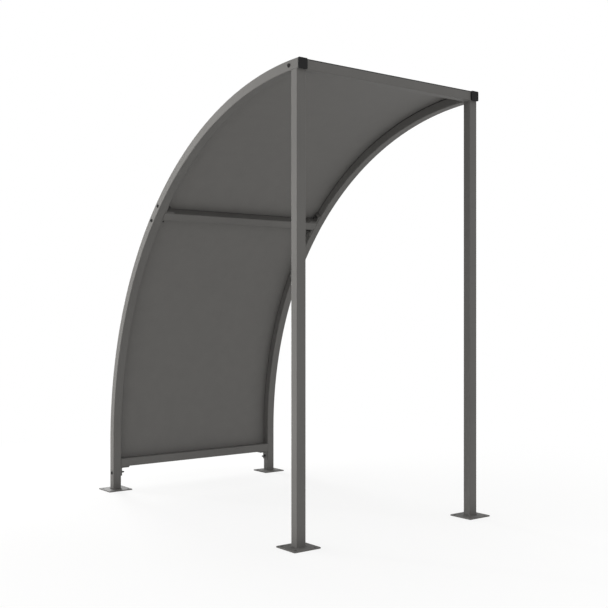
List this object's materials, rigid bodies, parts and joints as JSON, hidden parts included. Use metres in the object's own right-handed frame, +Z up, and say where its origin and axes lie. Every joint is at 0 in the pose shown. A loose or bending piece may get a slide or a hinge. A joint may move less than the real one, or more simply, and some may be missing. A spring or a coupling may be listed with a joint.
{
  "type": "bike shelter",
  "caption": "Open bike shelter: curved steel sheet roof and back on bent box-tube arches, with front posts on base plates.",
  "frame": {"origin": "on the ground, midway between the two sides and midway between the arches' front ends and the back of the rear legs", "axes": "+X to the right seen from the open front, +Y from the open front to the back, +Z up"},
  "size_m": [1.28, 2.064, 2.267],
  "materials": {
    "frame_paint": "fine satin powder coat, dark warm grey",
    "sheet_paint": "fine satin powder coat, dark warm grey",
    "black_plastic": "moulded matte black",
    "black_bolt": "black coated steel"
  },
  "bodies": {
    "root": {"base_plate_front_left": "frame_paint", "base_plate_front_right": "frame_paint", "base_plate_rear_left": "frame_paint", "base_plate_rear_right": "frame_paint", "post_left": "frame_paint", "post_right": "frame_paint", "arch_left": "frame_paint", "arch_right": "frame_paint", "front_beam": "frame_paint", "mid_rail": "frame_paint", "bottom_rail": "frame_paint", "bracket_front_left": "frame_paint", "bracket_front_right": "frame_paint", "bracket_mid_upper_left": "frame_paint", "bracket_mid_upper_right": "frame_paint", "bracket_mid_lower_left": "frame_paint", "bracket_mid_lower_right": "frame_paint", "bracket_bottom_left": "frame_paint", "bracket_bottom_right": "frame_paint", "roof_sheet": "sheet_paint", "back_sheet": "sheet_paint", "cap_left": "black_plastic", "cap_right": "black_plastic", "bolt_front_left": "black_bolt", "bolt_front_right": "black_bolt", "bolt_mid_upper_left": "black_bolt", "bolt_mid_upper_right": "black_bolt", "bolt_mid_lower_left": "black_bolt", "bolt_mid_lower_right": "black_bolt", "bolt_bottom_left": "black_bolt", "bolt_bottom_right": "black_bolt"}
  },
  "joints": []
}
